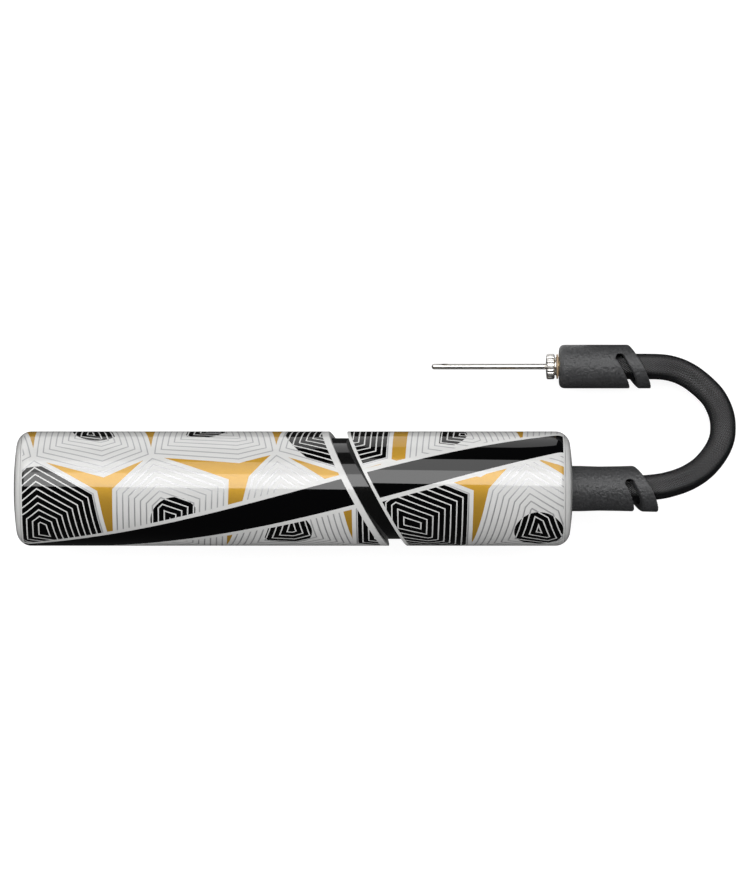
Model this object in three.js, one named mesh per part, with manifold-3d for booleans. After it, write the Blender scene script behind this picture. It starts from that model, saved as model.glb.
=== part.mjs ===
// A hand pump for balls: a printed two-piece case over a sliding barrel, with a short braided
// hose that carries an inflation needle. Millimetres, +Z up, lying on its side on z = 0.
// The case lies along X, with its middle over the origin. The handle half is at -X and is
// pulled towards -X. The head half is at +X and holds the barrel, the valve and the hose.
import * as THREE from "three";
import { mergeVertices } from "three/addons/utils/BufferGeometryUtils.js";
import Module from "manifold-3d";

const wasm = await Module();
wasm.setup();

// ---- Driving dimensions ------------------------------------------------------------------

const GAP = 0.3; // left between pieces that touch or that slide on each other
const CASE_LENGTH = 190;
const CASE_R = 19.5;
const CASE_WALL = 2;
const END_FILLET = 5; // rounding of the case's two ends
const DOME_R = 110; // the two ends are slightly domed, inside that rounding
const CAP_RIM = 2.6; // how far an end cap's rim reaches along the case
const STROKE = 95;

// The case is parted by two parallel slanting planes, x = at - lean.y * y - lean.z * z.
const PARTING = { handleAt: 22.35, headAt: 28.65, leanY: 0.52, leanZ: 0.1 };

const BARREL_WALL = 1.7;
const BARREL_RIGHT = 50;
const HEAD_FACE = 36; // end of the pumping chamber
const PISTON_LENGTH = 13;
const GLAND_LENGTH = 11;
const ROD_R = 4.6; // corner radius of the six-sided rod

const SEAL_WIDTH = 2.8;
const SEAL_FLOAT = 1.1; // how far the piston's seal shifts in its groove
const BALL_R = 2.6;
const BALL_LIFT = 1.2; // how far the valve's ball leaves its seat

const HOSE_R = 4.4;
const HOSE_BORE_R = 2.6;
const FERRULE_WALL = 0.8;
const LOWER_CUFF_R = 7.9;
const UPPER_CUFF_R = 7.5;

const NEEDLE_Y = 41.8; // the needle lies beside the case, at this distance from its axis
const NEEDLE_R = 1;
const NEEDLE_BORE_R = 0.6;
const HUB_R = 4.4;
const THREAD_R = 3.45;
const KNURLS = 24;

// The hose's centre line, from the head's swivel round to the needle's socket.
const HOSE_ROUTE = [
  [78.3, 0, 19.5],
  [86, 0, 19.5],
  [95, 0, 19.5],
  [104, 0, 19.5],
  [112, 0, 19.5],
  [119, 0.15, 19.4],
  [125.3, 0.8, 18.9],
  [128.9, 1.6, 18.2],
  [132.4, 2.7, 17.2],
  [135.9, 4.3, 15.9],
  [139.4, 6.6, 14.2],
  [142.1, 9.2, 12.6],
  [144.3, 12, 11],
  [145.9, 14.8, 9.5],
  [146.9, 17.7, 8.2],
  [147.2, 20.6, 7],
  [147.1, 23.4, 6],
  [146.5, 26.1, 5.3],
  [145.4, 28.8, 4.8],
  [143.8, 31.5, 4.55],
  [141.5, 34, 4.45],
  [138.9, 36.3, 4.45],
  [136, 38.4, 4.6],
  [132.7, 40.1, 5],
  [129.2, 41.2, 5.7],
  [125.6, 41.7, 6.6],
  [121, 41.8, 7.3],
  [115, 41.8, 7.5],
  [109, 41.8, 7.5],
  [102.3, 41.8, 7.5],
];
const HOSE_STEPS = 48;
const HOSE_SIDES = 10;

// ---- Sizes that follow -------------------------------------------------------------------

const CASE_END = CASE_LENGTH / 2;
const CASE_BORE_R = CASE_R - CASE_WALL;
const BARREL_R = CASE_BORE_R - GAP;
const BARREL_BORE_R = BARREL_R - BARREL_WALL;
const PLUG_R = BARREL_BORE_R - GAP; // pieces that fit in the barrel
const CUFF_HOLE_R = LOWER_CUFF_R + GAP;
const DOME_AT = CASE_END - Math.sqrt(DOME_R ** 2 - CUFF_HOLE_R ** 2); // a dome's middle, on the axis
const FILLET_R = CASE_R - END_FILLET;
const FILLET_AT = DOME_AT + Math.sqrt((DOME_R - END_FILLET) ** 2 - FILLET_R ** 2);
const PISTON_RIGHT = HEAD_FACE - 1;
const PISTON_LEFT = PISTON_RIGHT - PISTON_LENGTH;
const GLAND_RIGHT = PISTON_LEFT - STROKE - 1; // the piston stops just short of the gland
const GLAND_LEFT = GLAND_RIGHT - GLAND_LENGTH;
const BARREL_LEFT = GLAND_LEFT + 3;
const NEEDLE_Z = UPPER_CUFF_R; // the cuff at the needle rests on the ground

const ROUND = 40; // sides of the case and barrel
const SMALL_ROUND = 28; // sides of fittings and cuffs
const FINE_ROUND = 16; // sides of screws, bores and the needle

// ---- Materials ---------------------------------------------------------------------------

function finish(color, roughness, metalness = 0) {
  return new THREE.MeshStandardMaterial({ color, roughness, metalness });
}

const lacquer = finish(0xf2f2f0, 0.25);
const blackGloss = finish(0x0b0b0c, 0.15);
const greyNylon = finish(0x3a3c3e, 0.55);
const whiteAcetal = finish(0xe6e4dc, 0.4);
const steel = finish(0xb9b9b6, 0.3, 1);
const nickel = finish(0xd8d5cf, 0.2, 1);
const brass = finish(0xc89a4a, 0.3, 1);
const aluminium = finish(0xaeb2b5, 0.35, 1);
const cuffRubber = finish(0x323436, 0.75);
const sealRubber = finish(0x161616, 0.6);
const amberFibre = finish(0xb5793a, 0.7);
const braid = finish(0x1c1d1f, 0.5);

// ---- Shape helpers -----------------------------------------------------------------------

// A closed geometry as a manifold-3d solid.
function solidOf(geometry) {
  const bare = geometry.index ? geometry.toNonIndexed() : geometry.clone();
  bare.deleteAttribute("normal");
  bare.deleteAttribute("uv");
  const merged = mergeVertices(bare, 1e-4);
  return new wasm.Manifold(
    new wasm.Mesh({
      numProp: 3,
      vertProperties: merged.attributes.position.array,
      triVerts: new Uint32Array(merged.index.array),
    }),
  );
}

// A manifold-3d solid as a geometry.
function geometryOf(solid) {
  const mesh = solid.getMesh();
  const geometry = new THREE.BufferGeometry();
  geometry.setAttribute("position", new THREE.BufferAttribute(mesh.vertProperties, mesh.numProp));
  geometry.setIndex(new THREE.BufferAttribute(mesh.triVerts, 1));
  geometry.computeVertexNormals();
  return geometry;
}

// The geometry with each tool taken away from it.
function cut(geometry, ...tools) {
  return geometryOf(tools.reduce((solid, tool) => solid.subtract(solidOf(tool)), solidOf(geometry)));
}

// A profile of [x, radius] pairs turned round the X axis. It runs up the outside towards +X,
// and either starts and ends on the axis or closes on itself.
function turned(profile, sides = ROUND) {
  const points = profile.map(([x, r]) => new THREE.Vector2(r, x));
  return new THREE.LatheGeometry(points, sides).rotateZ(-Math.PI / 2);
}

// A tube from x = left to right, closed on itself.
function ring(left, right, innerR, outerR, sides = ROUND) {
  return turned([[left, innerR], [left, outerR], [right, outerR], [right, innerR], [left, innerR]], sides);
}

// A rod along X.
function bar(left, right, r, sides = FINE_ROUND) {
  return turned([[left, 0], [left, r], [right, r], [right, 0]], sides);
}

const circle = (r) => new THREE.Shape().absarc(0, 0, r, 0, 2 * Math.PI);

// A rod along Z through the X axis.
function crossBar(x, r, reach) {
  return new THREE.CylinderGeometry(r, r, 2 * reach, FINE_ROUND).rotateX(Math.PI / 2).translate(x, 0, 0);
}

// An arc's points as [x, radius], from one angle to another in degrees; 0 points along +X.
function arc(x, r, radius, from, to, steps) {
  return Array.from({ length: steps + 1 }, (_, i) => {
    const angle = THREE.MathUtils.degToRad(from + ((to - from) * i) / steps);
    return [x + radius * Math.cos(angle), r + radius * Math.sin(angle)];
  });
}

// The half space past a slanting plane, as a large box on its +X side.
function beyond(at, leanY, leanZ) {
  const size = 120;
  const normal = new THREE.Vector3(1, leanY, leanZ).normalize();
  const turn = new THREE.Quaternion().setFromUnitVectors(new THREE.Vector3(1, 0, 0), normal);
  const block = new THREE.BoxGeometry(size, size, size).translate(size / 2, 0, 0);
  return block.applyQuaternion(turn).translate(at, 0, 0);
}

// A six-sided bar along X, with a corner at the top.
function hexBar(left, right, cornerR) {
  return bar(left, right, cornerR, 6);
}

// ---- Case --------------------------------------------------------------------------------

// Where the end rounding meets an end cap's rim, and where it meets the dome, as angles from the axis.
const roundingAngle = (x) => THREE.MathUtils.radToDeg(Math.acos((x - FILLET_AT) / END_FILLET));
const RIM_ANGLE = roundingAngle(CASE_END - CAP_RIM);
const SHELL_RIM_ANGLE = roundingAngle(CASE_END - CAP_RIM - GAP);
const domeAngle = (r, radius) => THREE.MathUtils.radToDeg(Math.asin(r / radius));
const DOME_RIM_ANGLE = domeAngle(FILLET_R, DOME_R - END_FILLET);

// An end cap's face, from its rim in to the edge of its hole or of its flat middle.
function capFace() {
  const rounded = arc(FILLET_AT, FILLET_R, END_FILLET, RIM_ANGLE, DOME_RIM_ANGLE, 4);
  const dome = arc(DOME_AT, 0, DOME_R, DOME_RIM_ANGLE, domeAngle(CUFF_HOLE_R, DOME_R), 2);
  return [...rounded, ...dome.slice(1)];
}

// The printed sleeve of one end of the case, as the part at +X.
function shellProfile(openEnd) {
  const rounded = arc(FILLET_AT, FILLET_R, END_FILLET, 90, SHELL_RIM_ANGLE, 4);
  const rimX = rounded.at(-1)[0];
  return [[openEnd, CASE_BORE_R], [openEnd, CASE_R], ...rounded, [rimX, CASE_BORE_R], [openEnd, CASE_BORE_R]];
}

const partingReach = 11; // how far the parting slants to either side of its middle

function headShell() {
  const blank = turned(shellProfile(PARTING.headAt - partingReach));
  return geometryOf(solidOf(blank).intersect(solidOf(beyond(PARTING.headAt, PARTING.leanY, PARTING.leanZ))));
}

function handleShell() {
  // Half a turn about Y brings the +X end to -X.
  const blank = turned(shellProfile(-PARTING.handleAt - partingReach)).rotateY(Math.PI);
  return cut(blank, beyond(PARTING.handleAt, PARTING.leanY, PARTING.leanZ));
}

const CAP_PLUG_LEFT = 86; // how far in the caps' plugs reach, from the middle of the case
const CAP_PLUG_WALL = 2;
const CAP_FLOOR = CASE_END - 2;
const BOSS_R = 7;
const BOSS_END = 87.9;
const ROD_PIN = { x: 90.4, r: 1.2 };

// The end cap of the handle, as the part at +X: it holds the rod in a boss.
function handleEndCap() {
  const plugR = CASE_BORE_R - GAP;
  const profile = [
    [BOSS_END, 0],
    [BOSS_END, BOSS_R],
    [CAP_FLOOR, BOSS_R],
    [CAP_FLOOR, plugR - CAP_PLUG_WALL],
    [CAP_PLUG_LEFT, plugR - CAP_PLUG_WALL],
    [CAP_PLUG_LEFT, plugR],
    [CASE_END - CAP_RIM, plugR],
    ...capFace(),
    [CASE_END, 0],
  ];
  const socket = hexBar(BOSS_END - 1, CAP_FLOOR, ROD_R + GAP);
  const pinHole = crossBar(ROD_PIN.x, ROD_PIN.r + GAP, BOSS_R + 1);
  return cut(turned(profile), socket, pinHole).rotateY(Math.PI);
}

const CUFF_SEAT = { left: 87, r: 10.5 };

// The end cap of the head: a collar in its middle carries the hose's cuff.
function headEndCap() {
  const plugR = CASE_BORE_R - GAP;
  return turned([
    [CUFF_SEAT.left, CUFF_HOLE_R],
    [CUFF_SEAT.left, CUFF_SEAT.r],
    [CAP_FLOOR, CUFF_SEAT.r],
    [CAP_FLOOR, plugR - CAP_PLUG_WALL],
    [CAP_PLUG_LEFT, plugR - CAP_PLUG_WALL],
    [CAP_PLUG_LEFT, plugR],
    [CASE_END - CAP_RIM, plugR],
    ...capFace(),
    [CUFF_SEAT.left, CUFF_HOLE_R],
  ]);
}

// ---- Barrel and gland --------------------------------------------------------------------

const barrel = () => ring(BARREL_LEFT, BARREL_RIGHT, BARREL_BORE_R, BARREL_R);

const GLAND = { flangeR: 16.9, grooveR: 16.1, grooveLeft: GLAND_LEFT + 0.8, grooveRight: GLAND_LEFT + 2.1 };
const VENTS = 3;
const VENT_R = 1.2;
const VENT_AT_R = 10;

// The guide at the barrel's open end. Its six-sided hole keeps the handle from turning.
function barrelGland() {
  const shoulder = BARREL_LEFT - GAP;
  const body = turned([
    [GLAND_LEFT, 0],
    [GLAND_LEFT, GLAND.flangeR],
    [GLAND.grooveLeft, GLAND.flangeR],
    [GLAND.grooveLeft, GLAND.grooveR],
    [GLAND.grooveRight, GLAND.grooveR],
    [GLAND.grooveRight, GLAND.flangeR],
    [shoulder, GLAND.flangeR],
    [shoulder, PLUG_R],
    [GLAND_RIGHT, PLUG_R],
    [GLAND_RIGHT, 0],
  ]);
  const rodHole = hexBar(GLAND_LEFT - 1, GLAND_RIGHT + 1, ROD_R + GAP);
  const vents = Array.from({ length: VENTS }, (_, i) => {
    const angle = (2 * Math.PI * i) / VENTS;
    const hole = bar(GLAND_LEFT - 1, GLAND_RIGHT + 1, VENT_R, 12);
    return hole.translate(0, VENT_AT_R * Math.sin(angle), VENT_AT_R * Math.cos(angle));
  });
  return cut(body, rodHole, ...vents);
}

const SLIDE_FIT = 0.15; // left round a ring that guides a slide

// A slippery ring in the gland's groove, on which the handle's sleeve slides.
const guideRing = () =>
  ring(
    GLAND.grooveLeft + SLIDE_FIT,
    GLAND.grooveRight - SLIDE_FIT,
    GLAND.grooveR + SLIDE_FIT,
    CASE_BORE_R - SLIDE_FIT,
  );

// ---- Rod and piston ----------------------------------------------------------------------

const ROD_LEFT = -(CAP_FLOOR - GAP);
const ROD_SOCKET_DEPTH = 3;
const ROD_RIGHT = PISTON_LEFT + ROD_SOCKET_DEPTH - GAP;
const SCREW_R = 1.5;
const SCREW_DEPTH = 11;

function pistonRod() {
  const screwHole = bar(ROD_RIGHT - SCREW_DEPTH - 1, ROD_RIGHT + 1, SCREW_R + GAP);
  const pinHole = crossBar(-ROD_PIN.x, ROD_PIN.r + GAP, BOSS_R);
  return cut(hexBar(ROD_LEFT, ROD_RIGHT, ROD_R), screwHole, pinHole);
}

const rodPin = () => crossBar(-ROD_PIN.x, ROD_PIN.r, BOSS_R - 0.2);

// A soft ring round the rod, which meets the gland when the pump is pushed home.
const strokeBumper = () => ring(-BOSS_END + GAP, GLAND_LEFT - GAP, ROD_R + GAP, 9, SMALL_ROUND);

const SEAL_LEFT = PISTON_LEFT + 4.3;
const SEAL_GROOVE = { left: SEAL_LEFT - GAP, right: SEAL_LEFT + SEAL_WIDTH + SEAL_FLOAT + GAP, r: 12.2 };
const SCREW_HEAD_R = 3.5;
const SCREW_HEAD_DEPTH = 4;
const NOTCHES = 4;

// The piston. Notches in the wall ahead of its groove let air past the seal on the pull stroke.
function piston() {
  const body = turned([
    [PISTON_LEFT, 0],
    [PISTON_LEFT, PLUG_R],
    [SEAL_GROOVE.left, PLUG_R],
    [SEAL_GROOVE.left, SEAL_GROOVE.r],
    [SEAL_GROOVE.right, SEAL_GROOVE.r],
    [SEAL_GROOVE.right, PLUG_R],
    [PISTON_RIGHT, PLUG_R],
    [PISTON_RIGHT, 0],
  ]);
  const rodSocket = hexBar(PISTON_LEFT - 1, PISTON_LEFT + ROD_SOCKET_DEPTH, ROD_R + GAP);
  const screwHole = bar(PISTON_LEFT, PISTON_RIGHT, SCREW_R + GAP);
  const headRecess = bar(PISTON_RIGHT - SCREW_HEAD_DEPTH, PISTON_RIGHT + 1, SCREW_HEAD_R + 0.5);
  const notchLength = PISTON_RIGHT - SEAL_GROOVE.right + 2;
  const notches = Array.from({ length: NOTCHES }, (_, i) => {
    const middle = (SEAL_GROOVE.right + PISTON_RIGHT) / 2;
    const notch = new THREE.BoxGeometry(notchLength, 3, 4).translate(middle, 0, SEAL_GROOVE.r + 2.8);
    return notch.rotateX((2 * Math.PI * i) / NOTCHES);
  });
  return cut(body, rodSocket, screwHole, headRecess, ...notches);
}

// The piston's seal: a ring with rounded outer corners, which fills the gap to the barrel.
function pistonSeal() {
  const innerR = SEAL_GROOVE.r + GAP;
  const outerR = BARREL_BORE_R - SLIDE_FIT;
  const corner = 0.9;
  const left = SEAL_LEFT;
  const right = SEAL_LEFT + SEAL_WIDTH;
  return turned([
    [left, innerR],
    [left, outerR - corner],
    [left + corner, outerR],
    [right - corner, outerR],
    [right, outerR - corner],
    [right, innerR],
    [left, innerR],
  ]);
}

// The screw that holds the piston to the rod, with a slot in its head.
function pistonScrew() {
  const headLeft = PISTON_RIGHT - SCREW_HEAD_DEPTH + GAP;
  const headRight = PISTON_RIGHT - 0.4;
  const tip = ROD_RIGHT - SCREW_DEPTH + 1;
  const profile = [
    [tip, 0],
    [tip, SCREW_R],
    [headLeft, SCREW_R],
    [headLeft, SCREW_HEAD_R],
    [headRight, SCREW_HEAD_R],
    [headRight, 0],
  ];
  const slot = new THREE.BoxGeometry(2, 1, 3 * SCREW_HEAD_R).translate(headRight, 0, 0);
  return cut(turned(profile, FINE_ROUND), slot);
}

// ---- Head block and valve ----------------------------------------------------------------

const BLOCK = { flangeRight: 56, bossR: 9.5, bossRight: 68, inletR: 1.6, chamberLeft: 41, chamberR: 4 };
const SWIVEL_BORE = { left: 54, r: 5.3 };
const BLOCK_GROOVE = { left: 44.5, right: 47.1, r: PLUG_R - 1.8 };

// The plug that closes the barrel. It holds the valve and, in its boss, the hose's swivel.
function headBlock() {
  const shoulder = BARREL_RIGHT + GAP;
  return turned([
    [HEAD_FACE, BLOCK.inletR],
    [HEAD_FACE, PLUG_R],
    [BLOCK_GROOVE.left, PLUG_R],
    [BLOCK_GROOVE.left, BLOCK_GROOVE.r],
    [BLOCK_GROOVE.right, BLOCK_GROOVE.r],
    [BLOCK_GROOVE.right, PLUG_R],
    [shoulder, PLUG_R],
    [shoulder, BARREL_R],
    [BLOCK.flangeRight, BARREL_R],
    [BLOCK.flangeRight, BLOCK.bossR],
    [BLOCK.bossRight, BLOCK.bossR],
    [BLOCK.bossRight, SWIVEL_BORE.r],
    [SWIVEL_BORE.left, SWIVEL_BORE.r],
    [SWIVEL_BORE.left, BLOCK.chamberR],
    [BLOCK.chamberLeft, BLOCK.chamberR],
    [BLOCK.chamberLeft, BLOCK.inletR],
    [HEAD_FACE, BLOCK.inletR],
  ]);
}

const RING_FIT = 0.1; // left between a sealing ring and what it seals against

// An O-ring of round section, its middle at x.
function oRing(x, innerR, outerR, sides) {
  const middleR = (innerR + outerR) / 2;
  return turned(arc(x, middleR, (outerR - innerR) / 2, 0, -360, 6), sides);
}

function headORing() {
  const x = (BLOCK_GROOVE.left + BLOCK_GROOVE.right) / 2;
  return oRing(x, BLOCK_GROOVE.r + RING_FIT, BARREL_BORE_R - RING_FIT, ROUND);
}

const SEAT_LEFT = BLOCK.chamberLeft + GAP;
const SEAT_THICK = 2;
const BALL_X = SEAT_LEFT + SEAT_THICK + 2.35;
const SPRING_CLOSED = 2.95; // the spring's length with the valve wide open
const RETAINER_LEFT = BALL_X + BALL_R + BALL_LIFT + SPRING_CLOSED;

const valveSeat = () =>
  ring(SEAT_LEFT, SEAT_LEFT + SEAT_THICK, BLOCK.inletR, BLOCK.chamberR - GAP, FINE_ROUND);

const valveBall = () => new THREE.SphereGeometry(BALL_R, 20, 12).translate(BALL_X, 0, 0);

// The ring that backs the valve's spring.
const springRetainer = () => ring(RETAINER_LEFT, RETAINER_LEFT + 1.3, 1.5, BLOCK.chamberR - GAP, FINE_ROUND);

const SPRING = { wireR: 0.22, r: 2, turns: 4, left: BALL_X + BALL_R + 0.45, right: RETAINER_LEFT - GAP };

class Coil extends THREE.Curve {
  getPoint(t, target = new THREE.Vector3()) {
    const angle = 2 * Math.PI * SPRING.turns * t;
    const left = SPRING.left + SPRING.wireR;
    const right = SPRING.right - SPRING.wireR;
    return target.set(left + (right - left) * t, SPRING.r * Math.cos(angle), SPRING.r * Math.sin(angle));
  }
}

function valveSpring() {
  const section = circle(SPRING.wireR);
  const stepsPerTurn = 12;
  return new THREE.ExtrudeGeometry(section, {
    extrudePath: new Coil(),
    steps: SPRING.turns * stepsPerTurn,
    curveSegments: 3,
  });
}

// ---- Swivel and hose ---------------------------------------------------------------------

const STEM = { left: 56, r: SWIVEL_BORE.r - GAP, grooveLeft: 60, grooveRight: 62.4, grooveR: 3.5 };
const SWIVEL_COLLAR = { left: BLOCK.bossRight + GAP, right: 71.5, r: 7.2 };
const NUT = { left: 60, wallLeft: 71.8, right: 75, cornerR: 13 };
const HOSE_START = HOSE_ROUTE[0][0];
const HOSE_END = HOSE_ROUTE.at(-1)[0];
const NECK_R = 3.1;
const AIR_R = 1.2;
const BARB_R = HOSE_BORE_R - GAP;
const BARB_LENGTH = 12;
const FERRULE_LENGTH = 9;

// The fitting that turns in the head, with a ribbed tail that grips the hose.
function swivelFitting() {
  return turned([
    [STEM.left, AIR_R],
    [STEM.left, STEM.r],
    [STEM.grooveLeft, STEM.r],
    [STEM.grooveLeft, STEM.grooveR],
    [STEM.grooveRight, STEM.grooveR],
    [STEM.grooveRight, STEM.r],
    [SWIVEL_COLLAR.left, STEM.r],
    [SWIVEL_COLLAR.left, SWIVEL_COLLAR.r],
    [SWIVEL_COLLAR.right, SWIVEL_COLLAR.r],
    [SWIVEL_COLLAR.right, NECK_R],
    [HOSE_START - GAP, NECK_R],
    ...ribbedTail(HOSE_START),
    [HOSE_START + BARB_LENGTH, AIR_R],
    [STEM.left, AIR_R],
  ], SMALL_ROUND);
}

// The outline of a hose tail from x towards +X. Each rib narrows, then steps out to the next.
function ribbedTail(x) {
  const ribs = 3;
  const ribDepth = 0.5;
  const pitch = BARB_LENGTH / ribs;
  return Array.from({ length: ribs }, (_, i) => [
    [x + i * pitch, BARB_R],
    [x + (i + 1) * pitch, BARB_R - ribDepth],
  ]).flat();
}

function swivelORing() {
  const x = (STEM.grooveLeft + STEM.grooveRight) / 2;
  return oRing(x, STEM.grooveR + RING_FIT, SWIVEL_BORE.r - RING_FIT, SMALL_ROUND);
}

// The six-sided nut that keeps the swivel in the head's boss.
function swivelNut() {
  const boreR = BLOCK.bossR + GAP;
  const body = hexBar(NUT.left, NUT.right, NUT.cornerR);
  const bossBore = bar(NUT.left - 1, NUT.wallLeft, boreR, SMALL_ROUND);
  const neckHole = bar(NUT.wallLeft - 1, NUT.right + 1, NECK_R + GAP);
  return cut(body, bossBore, neckHole);
}

const FERRULE_R = HOSE_R + GAP + FERRULE_WALL;

// The crimped sleeve round a hose end, from x towards +X.
const ferrule = (x) => ring(x, x + FERRULE_LENGTH, HOSE_R + GAP, FERRULE_R, SMALL_ROUND);

// The hose: a round tube along its route.
function hose() {
  const points = HOSE_ROUTE.map((point) => new THREE.Vector3(...point));
  const line = new THREE.CatmullRomCurve3(points, false, "centripetal");
  const tube = new THREE.ExtrudeGeometry(circle(HOSE_R), {
    extrudePath: line,
    steps: HOSE_STEPS,
    curveSegments: HOSE_SIDES / 2,
  });
  const boreLength = BARB_LENGTH + 2;
  const startBore = bar(HOSE_START - 1, HOSE_START + boreLength, HOSE_BORE_R).translate(0, 0, CASE_R);
  const endBore = bar(HOSE_END - 1, HOSE_END + boreLength, HOSE_BORE_R).translate(0, NEEDLE_Y, NEEDLE_Z);
  return cut(tube, startBore, endBore);
}

// ---- Cuffs -------------------------------------------------------------------------------

const CUFF_SLOT_WIDTH = 2.7;
const CUFF_SHEAR = 0.16; // how far the slot and the slanting end lean, from back to front

// A slot with a round end at (x, y), which runs down through the cuff's underside.
function cuffSlot(x, y, bottomX, cuffR) {
  const r = CUFF_SLOT_WIDTH / 2;
  const reach = cuffR + 4;
  const lean = Math.atan2(bottomX - x, y + cuffR);
  const shape = new THREE.Shape();
  shape.absarc(0, 0, r, 0, Math.PI);
  shape.lineTo(-r, -2 * reach);
  shape.lineTo(r, -2 * reach);
  shape.closePath();
  const slot = new THREE.ExtrudeGeometry(shape, { depth: 2 * reach, bevelEnabled: false, curveSegments: 8 });
  slot.translate(0, 0, -reach).rotateZ(lean);
  slot.applyMatrix4(new THREE.Matrix4().makeShear(0, 0, 0, 0, CUFF_SHEAR, 0));
  return slot.translate(x, y, 0);
}

const CUFF_BORE_R = HOSE_R + GAP;
const FLARE_R = CUFF_BORE_R + 0.9; // the bore opens a little towards the bend

const LOWER_CUFF = { left: 84, shoulder: 86.7, flangeR: 9.8, ferruleEnd: 88.3, flareAt: 108, end: 128 };

// The soft cuff where the hose leaves the head. Its flange is held behind the end cap's collar.
function lowerCuff() {
  const body = turned([
    [LOWER_CUFF.left, FERRULE_R + GAP],
    [LOWER_CUFF.left, LOWER_CUFF.flangeR],
    [LOWER_CUFF.shoulder, LOWER_CUFF.flangeR],
    [LOWER_CUFF.shoulder, LOWER_CUFF_R],
    [LOWER_CUFF.end, LOWER_CUFF_R],
    [LOWER_CUFF.end, FLARE_R],
    [LOWER_CUFF.flareAt, CUFF_BORE_R],
    [LOWER_CUFF.ferruleEnd, CUFF_BORE_R],
    [LOWER_CUFF.ferruleEnd, FERRULE_R + GAP],
    [LOWER_CUFF.left, FERRULE_R + GAP],
  ], SMALL_ROUND);
  return cut(body, beyond(119.8, 0.52, -CUFF_SHEAR), cuffSlot(115.1, 1.3, 118, LOWER_CUFF_R));
}

const UPPER_CUFF = { left: 90.9, corner: 1.8, ferruleLeft: 102, ferruleRight: 111.6, flareAt: 113, end: 126 };
const SOCKET_R = 4.6;

// The soft cuff at the needle's end, round the brass socket and the hose.
function upperCuff() {
  const cornerR = UPPER_CUFF_R - UPPER_CUFF.corner;
  const body = turned([
    [UPPER_CUFF.left, SOCKET_R + GAP],
    ...arc(UPPER_CUFF.left + UPPER_CUFF.corner, cornerR, UPPER_CUFF.corner, 180, 90, 4),
    [UPPER_CUFF.end, UPPER_CUFF_R],
    [UPPER_CUFF.end, FLARE_R],
    [UPPER_CUFF.flareAt, CUFF_BORE_R],
    [UPPER_CUFF.ferruleRight, CUFF_BORE_R],
    [UPPER_CUFF.ferruleRight, FERRULE_R + GAP],
    [UPPER_CUFF.ferruleLeft, FERRULE_R + GAP],
    [UPPER_CUFF.ferruleLeft, SOCKET_R + GAP],
    [UPPER_CUFF.left, SOCKET_R + GAP],
  ], SMALL_ROUND);
  return cut(body, beyond(118.4, 0.52, -CUFF_SHEAR), cuffSlot(112.2, 2.8, 116.4, UPPER_CUFF_R));
}

// ---- Needle ------------------------------------------------------------------------------

const SOCKET_LEFT = 90.9;
const THREAD_DEPTH = 7.6;
const NEEDLE = { tip: 47.2, sideHoleAt: 51.9, hubLeft: 86.5, hubRight: 89.4, threadRight: 97.6 };
const WASHER = { left: 90.05, right: 90.6, innerR: 3.75, outerR: 4.2 };

// The brass socket that the needle screws into, with a ribbed tail in the hose's end.
function needleSocket() {
  const boreR = THREAD_R + GAP;
  return turned([
    [SOCKET_LEFT, boreR],
    [SOCKET_LEFT, SOCKET_R],
    [HOSE_END - GAP, SOCKET_R],
    ...ribbedTail(HOSE_END - GAP),
    [HOSE_END - GAP + BARB_LENGTH, AIR_R],
    [SOCKET_LEFT + THREAD_DEPTH, AIR_R],
    [SOCKET_LEFT + THREAD_DEPTH, boreR],
    [SOCKET_LEFT, boreR],
  ], SMALL_ROUND);
}

const needleWasher = () => ring(WASHER.left, WASHER.right, WASHER.innerR, WASHER.outerR, SMALL_ROUND);

// The knurled hub and its thread, bored for the needle's tube.
function needleHub() {
  const knurlDepth = 0.35;
  const outline = new THREE.Shape(
    Array.from({ length: 2 * KNURLS }, (_, i) => {
      const angle = (Math.PI * (i + 0.5)) / KNURLS;
      const r = i % 2 ? HUB_R : HUB_R - knurlDepth;
      return new THREE.Vector2(r * Math.cos(angle), r * Math.sin(angle));
    }),
  );
  const depth = NEEDLE.hubRight - NEEDLE.hubLeft;
  const disc = new THREE.ExtrudeGeometry(outline, { depth, bevelEnabled: false }).rotateY(Math.PI / 2);
  const knurled = solidOf(disc.translate(NEEDLE.hubLeft, 0, 0));
  const thread = solidOf(bar(NEEDLE.hubLeft + 1, NEEDLE.threadRight, THREAD_R, SMALL_ROUND));
  const bore = solidOf(bar(NEEDLE.hubLeft - 1, NEEDLE.threadRight + 1, NEEDLE_R + GAP));
  return geometryOf(knurled.add(thread).subtract(bore));
}

// The needle's thin tube, with a round closed tip and a hole in its side.
function needleTube() {
  const left = NEEDLE.tip + NEEDLE_R;
  const right = NEEDLE.threadRight - 1;
  const body = turned([
    ...arc(left, 0, NEEDLE_R, 180, 90, 5),
    [right, NEEDLE_R],
    [right, NEEDLE_BORE_R],
    [left + 0.5, NEEDLE_BORE_R],
    [left + 0.5, 0],
  ], FINE_ROUND);
  const sideHole = new THREE.CylinderGeometry(0.5, 0.5, 2, 12).scale(2.4, 1, 1);
  return cut(body, sideHole.translate(NEEDLE.sideHoleAt, 1, 0).rotateX(Math.PI / 4));
}

// ---- Assembly ----------------------------------------------------------------------------

function named(name, geometry, material) {
  const mesh = new THREE.Mesh(geometry, material);
  mesh.name = name;
  return mesh;
}

const pump = new THREE.Group();

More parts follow.
